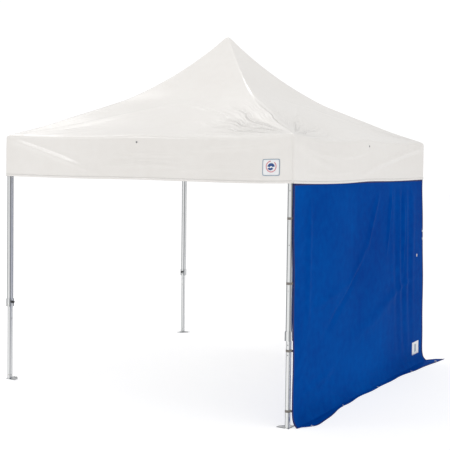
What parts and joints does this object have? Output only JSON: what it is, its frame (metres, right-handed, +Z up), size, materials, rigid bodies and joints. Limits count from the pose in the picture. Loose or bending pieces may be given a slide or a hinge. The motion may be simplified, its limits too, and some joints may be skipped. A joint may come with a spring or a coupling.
{
  "type": "pop up canopy",
  "caption": "Square pop up canopy with a peaked fabric roof, telescoping legs, a folding truss of scissor bars, a sprung peak pole and one fabric sidewall.",
  "frame": {"origin": "centre of the bounding box on the ground; the frame's own middle is 0.100 m along -X and 0.1275 m along -Y from it, because the sidewall's hem lies past the frame on the +X and +Y sides", "axes": "+Z up, +X towards the side with the fabric wall, -Y towards the front"},
  "size_m": [3.26, 3.315, 3.344],
  "materials": {
    "aluminium": "satin extruded aluminium",
    "bar_metal": "mill-finish tube",
    "grey_plastic": "moulded plastic",
    "black_plastic": "moulded plastic",
    "white_fabric": "coated polyester, slightly glossy",
    "blue_fabric": "coated polyester, slightly glossy"
  },
  "bodies": {
    "hub_upper": {"hub_upper": "grey_plastic"},
    "bar_centre_to_front": {"bar_centre_to_front": "bar_metal"},
    "bar_front_to_centre": {"bar_front_to_centre": "bar_metal"},
    "upper_bracket_front": {"upper_bracket_front": "grey_plastic"},
    "lower_bracket_front": {"lower_bracket_front": "grey_plastic"},
    "bar_centre_to_right": {"bar_centre_to_right": "bar_metal"},
    "bar_right_to_centre": {"bar_right_to_centre": "bar_metal"},
    "upper_bracket_right": {"upper_bracket_right": "grey_plastic", "sidewall": "blue_fabric"},
    "lower_bracket_right": {"lower_bracket_right": "grey_plastic"},
    "bar_centre_to_back": {"bar_centre_to_back": "bar_metal"},
    "bar_back_to_centre": {"bar_back_to_centre": "bar_metal"},
    "upper_bracket_back": {"upper_bracket_back": "grey_plastic"},
    "lower_bracket_back": {"lower_bracket_back": "grey_plastic"},
    "bar_centre_to_left": {"bar_centre_to_left": "bar_metal"},
    "bar_left_to_centre": {"bar_left_to_centre": "bar_metal"},
    "upper_bracket_left": {"upper_bracket_left": "grey_plastic"},
    "lower_bracket_left": {"lower_bracket_left": "grey_plastic"},
    "hub_lower": {"hub_lower": "grey_plastic", "peak_pole": "aluminium"},
    "bar_front_to_front_right": {"bar_front_to_front_right": "bar_metal"},
    "bar_front_right_to_front": {"bar_front_right_to_front": "bar_metal"},
    "outer_leg_front_right": {"outer_leg_front_right": "aluminium"},
    "slider_front_right": {"slider_front_right": "grey_plastic"},
    "bar_right_to_back_right": {"bar_right_to_back_right": "bar_metal"},
    "bar_back_right_to_right": {"bar_back_right_to_right": "bar_metal"},
    "outer_leg_back_right": {"outer_leg_back_right": "aluminium"},
    "slider_back_right": {"slider_back_right": "grey_plastic"},
    "bar_back_to_back_left": {"bar_back_to_back_left": "bar_metal"},
    "bar_back_left_to_back": {"bar_back_left_to_back": "bar_metal"},
    "outer_leg_back_left": {"outer_leg_back_left": "aluminium"},
    "slider_back_left": {"slider_back_left": "grey_plastic"},
    "bar_left_to_front_left": {"bar_left_to_front_left": "bar_metal"},
    "bar_front_left_to_left": {"bar_front_left_to_left": "bar_metal"},
    "outer_leg_front_left": {"outer_leg_front_left": "aluminium"},
    "slider_front_left": {"slider_front_left": "grey_plastic"},
    "bar_front_to_front_left": {"bar_front_to_front_left": "bar_metal"},
    "bar_front_left_to_front": {"bar_front_left_to_front": "bar_metal"},
    "bar_right_to_front_right": {"bar_right_to_front_right": "bar_metal"},
    "bar_front_right_to_right": {"bar_front_right_to_right": "bar_metal"},
    "bar_back_to_back_right": {"bar_back_to_back_right": "bar_metal"},
    "bar_back_right_to_back": {"bar_back_right_to_back": "bar_metal"},
    "bar_left_to_back_left": {"bar_left_to_back_left": "bar_metal"},
    "bar_back_left_to_left": {"bar_back_left_to_left": "bar_metal"},
    "peak": {"peak_rod": "aluminium", "peak_cap": "black_plastic", "canopy_top": "white_fabric"},
    "inner_leg_front_left": {"inner_leg_front_left": "aluminium"},
    "adjuster_pin_front_left": {"adjuster_pin_front_left": "black_plastic"},
    "slider_pin_front_left": {"slider_pin_front_left": "black_plastic"},
    "inner_leg_front_right": {"inner_leg_front_right": "aluminium"},
    "adjuster_pin_front_right": {"adjuster_pin_front_right": "black_plastic"},
    "slider_pin_front_right": {"slider_pin_front_right": "black_plastic"},
    "inner_leg_back_right": {"inner_leg_back_right": "aluminium"},
    "adjuster_pin_back_right": {"adjuster_pin_back_right": "black_plastic"},
    "slider_pin_back_right": {"slider_pin_back_right": "black_plastic"},
    "inner_leg_back_left": {"inner_leg_back_left": "aluminium"},
    "adjuster_pin_back_left": {"adjuster_pin_back_left": "black_plastic"},
    "slider_pin_back_left": {"slider_pin_back_left": "black_plastic"}
  },
  "joints": [
    {"name": "fold", "type": "hinge", "parent": "hub_upper", "child": "bar_centre_to_front", "pos_m": [-0.093, -0.1735, 2.29], "axis": [1, 0, 0], "range_deg": [0, 77], "deforming": ["canopy_top", "sidewall"]},
    {"name": "cross_bar_front_to_centre", "type": "hinge", "parent": "bar_centre_to_front", "child": "bar_front_to_centre", "pos_m": [-0.1, -0.876, 2.155], "axis": [1, 0, 0], "range_deg": [-154, 0]},
    {"name": "carry_upper_bracket_front", "type": "hinge", "parent": "bar_front_to_centre", "child": "upper_bracket_front", "pos_m": [-0.107, -1.5785, 2.29], "axis": [1, 0, 0], "range_deg": [0, 77]},
    {"name": "carry_lower_bracket_front", "type": "hinge", "parent": "bar_centre_to_front", "child": "lower_bracket_front", "pos_m": [-0.093, -1.5785, 2.02], "axis": [1, 0, 0], "range_deg": [-77, 0]},
    {"name": "turn_bar_centre_to_right", "type": "hinge", "parent": "hub_upper", "child": "bar_centre_to_right", "pos_m": [-0.054, -0.1205, 2.29], "axis": [0, 1, 0], "range_deg": [0, 77]},
    {"name": "cross_bar_right_to_centre", "type": "hinge", "parent": "bar_centre_to_right", "child": "bar_right_to_centre", "pos_m": [0.6485, -0.1275, 2.155], "axis": [0, 1, 0], "range_deg": [-154, 0]},
    {"name": "carry_upper_bracket_right", "type": "hinge", "parent": "bar_right_to_centre", "child": "upper_bracket_right", "pos_m": [1.351, -0.1345, 2.29], "axis": [0, 1, 0], "range_deg": [0, 77]},
    {"name": "carry_lower_bracket_right", "type": "hinge", "parent": "bar_centre_to_right", "child": "lower_bracket_right", "pos_m": [1.351, -0.1205, 2.02], "axis": [0, 1, 0], "range_deg": [-77, 0]},
    {"name": "turn_bar_centre_to_back", "type": "hinge", "parent": "hub_upper", "child": "bar_centre_to_back", "pos_m": [-0.107, -0.0815, 2.29], "axis": [-1, 0, 0], "range_deg": [0, 77]},
    {"name": "cross_bar_back_to_centre", "type": "hinge", "parent": "bar_centre_to_back", "child": "bar_back_to_centre", "pos_m": [-0.1, 0.621, 2.155], "axis": [-1, 0, 0], "range_deg": [-154, 0]},
    {"name": "carry_upper_bracket_back", "type": "hinge", "parent": "bar_back_to_centre", "child": "upper_bracket_back", "pos_m": [-0.093, 1.3235, 2.29], "axis": [-1, 0, 0], "range_deg": [0, 77]},
    {"name": "carry_lower_bracket_back", "type": "hinge", "parent": "bar_centre_to_back", "child": "lower_bracket_back", "pos_m": [-0.107, 1.3235, 2.02], "axis": [-1, 0, 0], "range_deg": [-77, 0]},
    {"name": "turn_bar_centre_to_left", "type": "hinge", "parent": "hub_upper", "child": "bar_centre_to_left", "pos_m": [-0.146, -0.1345, 2.29], "axis": [0, -1, 0], "range_deg": [0, 77]},
    {"name": "cross_bar_left_to_centre", "type": "hinge", "parent": "bar_centre_to_left", "child": "bar_left_to_centre", "pos_m": [-0.8485, -0.1275, 2.155], "axis": [0, -1, 0], "range_deg": [-154, 0]},
    {"name": "carry_upper_bracket_left", "type": "hinge", "parent": "bar_left_to_centre", "child": "upper_bracket_left", "pos_m": [-1.551, -0.1205, 2.29], "axis": [0, -1, 0], "range_deg": [0, 77]},
    {"name": "carry_lower_bracket_left", "type": "hinge", "parent": "bar_centre_to_left", "child": "lower_bracket_left", "pos_m": [-1.551, -0.1345, 2.02], "axis": [0, -1, 0], "range_deg": [-77, 0]},
    {"name": "carry_hub_lower", "type": "hinge", "parent": "bar_front_to_centre", "child": "hub_lower", "pos_m": [-0.107, -0.1735, 2.02], "axis": [1, 0, 0], "range_deg": [0, 77]},
    {"name": "turn_bar_front_to_front_right", "type": "hinge", "parent": "upper_bracket_front", "child": "bar_front_to_front_right", "pos_m": [-0.054, -1.6175, 2.29], "axis": [0, 1, 0], "range_deg": [0, 77]},
    {"name": "cross_bar_front_right_to_front", "type": "hinge", "parent": "bar_front_to_front_right", "child": "bar_front_right_to_front", "pos_m": [0.6485, -1.6245, 2.155], "axis": [0, 1, 0], "range_deg": [-154, 0]},
    {"name": "carry_outer_leg_front_right", "type": "hinge", "parent": "bar_front_right_to_front", "child": "outer_leg_front_right", "pos_m": [1.351, -1.6315, 2.29], "axis": [0, 1, 0], "range_deg": [0, 77]},
    {"name": "carry_slider_front_right", "type": "hinge", "parent": "bar_front_to_front_right", "child": "slider_front_right", "pos_m": [1.351, -1.6175, 2.02], "axis": [0, 1, 0], "range_deg": [-77, 0]},
    {"name": "turn_bar_right_to_back_right", "type": "hinge", "parent": "upper_bracket_right", "child": "bar_right_to_back_right", "pos_m": [1.39, -0.0815, 2.29], "axis": [-1, 0, 0], "range_deg": [0, 77]},
    {"name": "cross_bar_back_right_to_right", "type": "hinge", "parent": "bar_right_to_back_right", "child": "bar_back_right_to_right", "pos_m": [1.397, 0.621, 2.155], "axis": [-1, 0, 0], "range_deg": [-154, 0]},
    {"name": "carry_outer_leg_back_right", "type": "hinge", "parent": "bar_back_right_to_right", "child": "outer_leg_back_right", "pos_m": [1.404, 1.3235, 2.29], "axis": [-1, 0, 0], "range_deg": [0, 77]},
    {"name": "carry_slider_back_right", "type": "hinge", "parent": "bar_right_to_back_right", "child": "slider_back_right", "pos_m": [1.39, 1.3235, 2.02], "axis": [-1, 0, 0], "range_deg": [-77, 0]},
    {"name": "turn_bar_back_to_back_left", "type": "hinge", "parent": "upper_bracket_back", "child": "bar_back_to_back_left", "pos_m": [-0.146, 1.3625, 2.29], "axis": [0, -1, 0], "range_deg": [0, 77]},
    {"name": "cross_bar_back_left_to_back", "type": "hinge", "parent": "bar_back_to_back_left", "child": "bar_back_left_to_back", "pos_m": [-0.8485, 1.3695, 2.155], "axis": [0, -1, 0], "range_deg": [-154, 0]},
    {"name": "carry_outer_leg_back_left", "type": "hinge", "parent": "bar_back_left_to_back", "child": "outer_leg_back_left", "pos_m": [-1.551, 1.3765, 2.29], "axis": [0, -1, 0], "range_deg": [0, 77]},
    {"name": "carry_slider_back_left", "type": "hinge", "parent": "bar_back_to_back_left", "child": "slider_back_left", "pos_m": [-1.551, 1.3625, 2.02], "axis": [0, -1, 0], "range_deg": [-77, 0]},
    {"name": "turn_bar_left_to_front_left", "type": "hinge", "parent": "upper_bracket_left", "child": "bar_left_to_front_left", "pos_m": [-1.59, -0.1735, 2.29], "axis": [1, 0, 0], "range_deg": [0, 77]},
    {"name": "cross_bar_front_left_to_left", "type": "hinge", "parent": "bar_left_to_front_left", "child": "bar_front_left_to_left", "pos_m": [-1.597, -0.876, 2.155], "axis": [1, 0, 0], "range_deg": [-154, 0]},
    {"name": "carry_outer_leg_front_left", "type": "hinge", "parent": "bar_front_left_to_left", "child": "outer_leg_front_left", "pos_m": [-1.604, -1.5785, 2.29], "axis": [1, 0, 0], "range_deg": [0, 77]},
    {"name": "carry_slider_front_left", "type": "hinge", "parent": "bar_left_to_front_left", "child": "slider_front_left", "pos_m": [-1.59, -1.5785, 2.02], "axis": [1, 0, 0], "range_deg": [-77, 0]},
    {"name": "turn_bar_front_to_front_left", "type": "hinge", "parent": "upper_bracket_front", "child": "bar_front_to_front_left", "pos_m": [-0.146, -1.6315, 2.29], "axis": [0, -1, 0], "range_deg": [0, 77]},
    {"name": "cross_bar_front_left_to_front", "type": "hinge", "parent": "bar_front_to_front_left", "child": "bar_front_left_to_front", "pos_m": [-0.8485, -1.6245, 2.155], "axis": [0, -1, 0], "range_deg": [-154, 0]},
    {"name": "turn_bar_right_to_front_right", "type": "hinge", "parent": "upper_bracket_right", "child": "bar_right_to_front_right", "pos_m": [1.404, -0.1735, 2.29], "axis": [1, 0, 0], "range_deg": [0, 77]},
    {"name": "cross_bar_front_right_to_right", "type": "hinge", "parent": "bar_right_to_front_right", "child": "bar_front_right_to_right", "pos_m": [1.397, -0.876, 2.155], "axis": [1, 0, 0], "range_deg": [-154, 0]},
    {"name": "turn_bar_back_to_back_right", "type": "hinge", "parent": "upper_bracket_back", "child": "bar_back_to_back_right", "pos_m": [-0.054, 1.3765, 2.29], "axis": [0, 1, 0], "range_deg": [0, 77]},
    {"name": "cross_bar_back_right_to_back", "type": "hinge", "parent": "bar_back_to_back_right", "child": "bar_back_right_to_back", "pos_m": [0.6485, 1.3695, 2.155], "axis": [0, 1, 0], "range_deg": [-154, 0]},
    {"name": "turn_bar_left_to_back_left", "type": "hinge", "parent": "upper_bracket_left", "child": "bar_left_to_back_left", "pos_m": [-1.604, -0.0815, 2.29], "axis": [-1, 0, 0], "range_deg": [0, 77]},
    {"name": "cross_bar_back_left_to_left", "type": "hinge", "parent": "bar_left_to_back_left", "child": "bar_back_left_to_left", "pos_m": [-1.597, 0.621, 2.155], "axis": [-1, 0, 0], "range_deg": [-154, 0]},
    {"name": "peak_spring", "type": "slide", "parent": "hub_lower", "child": "peak", "axis": [0, 0, 1], "range_m": [0, 0.161]},
    {"name": "leg_height_front_left", "type": "slide", "parent": "outer_leg_front_left", "child": "inner_leg_front_left", "axis": [0, 0, 1], "range_m": [0, 0.56]},
    {"name": "adjuster_pull_front_left", "type": "slide", "parent": "outer_leg_front_left", "child": "adjuster_pin_front_left", "axis": [1, 0, 0], "range_m": [0, 0.01], "stiffness_N_per_m": 600, "springref_m": -0.008},
    {"name": "slider_pull_front_left", "type": "slide", "parent": "slider_front_left", "child": "slider_pin_front_left", "axis": [1, 0, 0], "range_m": [0, 0.009], "stiffness_N_per_m": 600, "springref_m": -0.008},
    {"name": "leg_height_front_right", "type": "slide", "parent": "outer_leg_front_right", "child": "inner_leg_front_right", "axis": [0, 0, 1], "range_m": [0, 0.56]},
    {"name": "adjuster_pull_front_right", "type": "slide", "parent": "outer_leg_front_right", "child": "adjuster_pin_front_right", "axis": [0, 1, 0], "range_m": [0, 0.01], "stiffness_N_per_m": 600, "springref_m": -0.008},
    {"name": "slider_pull_front_right", "type": "slide", "parent": "slider_front_right", "child": "slider_pin_front_right", "axis": [0, 1, 0], "range_m": [0, 0.009], "stiffness_N_per_m": 600, "springref_m": -0.008},
    {"name": "leg_height_back_right", "type": "slide", "parent": "outer_leg_back_right", "child": "inner_leg_back_right", "axis": [0, 0, 1], "range_m": [0, 0.56]},
    {"name": "adjuster_pull_back_right", "type": "slide", "parent": "outer_leg_back_right", "child": "adjuster_pin_back_right", "axis": [-1, 0, 0], "range_m": [0, 0.01], "stiffness_N_per_m": 600, "springref_m": -0.008},
    {"name": "slider_pull_back_right", "type": "slide", "parent": "slider_back_right", "child": "slider_pin_back_right", "axis": [-1, 0, 0], "range_m": [0, 0.009], "stiffness_N_per_m": 600, "springref_m": -0.008},
    {"name": "leg_height_back_left", "type": "slide", "parent": "outer_leg_back_left", "child": "inner_leg_back_left", "axis": [0, 0, 1], "range_m": [0, 0.56]},
    {"name": "adjuster_pull_back_left", "type": "slide", "parent": "outer_leg_back_left", "child": "adjuster_pin_back_left", "axis": [0, -1, 0], "range_m": [0, 0.01], "stiffness_N_per_m": 600, "springref_m": -0.008},
    {"name": "slider_pull_back_left", "type": "slide", "parent": "slider_back_left", "child": "slider_pin_back_left", "axis": [0, -1, 0], "range_m": [0, 0.009], "stiffness_N_per_m": 600, "springref_m": -0.008}
  ],
  "couplings": [
    {"joint": "cross_bar_front_to_centre", "follows": "fold", "ratio": -2},
    {"joint": "carry_upper_bracket_front", "follows": "fold", "ratio": 1},
    {"joint": "carry_lower_bracket_front", "follows": "fold", "ratio": -1},
    {"joint": "turn_bar_centre_to_right", "follows": "fold", "ratio": 1},
    {"joint": "cross_bar_right_to_centre", "follows": "fold", "ratio": -2},
    {"joint": "carry_upper_bracket_right", "follows": "fold", "ratio": 1},
    {"joint": "carry_lower_bracket_right", "follows": "fold", "ratio": -1},
    {"joint": "turn_bar_centre_to_back", "follows": "fold", "ratio": 1},
    {"joint": "cross_bar_back_to_centre", "follows": "fold", "ratio": -2},
    {"joint": "carry_upper_bracket_back", "follows": "fold", "ratio": 1},
    {"joint": "carry_lower_bracket_back", "follows": "fold", "ratio": -1},
    {"joint": "turn_bar_centre_to_left", "follows": "fold", "ratio": 1},
    {"joint": "cross_bar_left_to_centre", "follows": "fold", "ratio": -2},
    {"joint": "carry_upper_bracket_left", "follows": "fold", "ratio": 1},
    {"joint": "carry_lower_bracket_left", "follows": "fold", "ratio": -1},
    {"joint": "carry_hub_lower", "follows": "fold", "ratio": 1},
    {"joint": "turn_bar_front_to_front_right", "follows": "fold", "ratio": 1},
    {"joint": "cross_bar_front_right_to_front", "follows": "fold", "ratio": -2},
    {"joint": "carry_outer_leg_front_right", "follows": "fold", "ratio": 1},
    {"joint": "carry_slider_front_right", "follows": "fold", "ratio": -1},
    {"joint": "turn_bar_right_to_back_right", "follows": "fold", "ratio": 1},
    {"joint": "cross_bar_back_right_to_right", "follows": "fold", "ratio": -2},
    {"joint": "carry_outer_leg_back_right", "follows": "fold", "ratio": 1},
    {"joint": "carry_slider_back_right", "follows": "fold", "ratio": -1},
    {"joint": "turn_bar_back_to_back_left", "follows": "fold", "ratio": 1},
    {"joint": "cross_bar_back_left_to_back", "follows": "fold", "ratio": -2},
    {"joint": "carry_outer_leg_back_left", "follows": "fold", "ratio": 1},
    {"joint": "carry_slider_back_left", "follows": "fold", "ratio": -1},
    {"joint": "turn_bar_left_to_front_left", "follows": "fold", "ratio": 1},
    {"joint": "cross_bar_front_left_to_left", "follows": "fold", "ratio": -2},
    {"joint": "carry_outer_leg_front_left", "follows": "fold", "ratio": 1},
    {"joint": "carry_slider_front_left", "follows": "fold", "ratio": -1},
    {"joint": "turn_bar_front_to_front_left", "follows": "fold", "ratio": 1},
    {"joint": "cross_bar_front_left_to_front", "follows": "fold", "ratio": -2},
    {"joint": "turn_bar_right_to_front_right", "follows": "fold", "ratio": 1},
    {"joint": "cross_bar_front_right_to_right", "follows": "fold", "ratio": -2},
    {"joint": "turn_bar_back_to_back_right", "follows": "fold", "ratio": 1},
    {"joint": "cross_bar_back_right_to_back", "follows": "fold", "ratio": -2},
    {"joint": "turn_bar_left_to_back_left", "follows": "fold", "ratio": 1},
    {"joint": "cross_bar_back_left_to_left", "follows": "fold", "ratio": -2},
    {"joint": "peak_spring", "follows": "fold", "m_per_rad": 0.119}
  ]
}
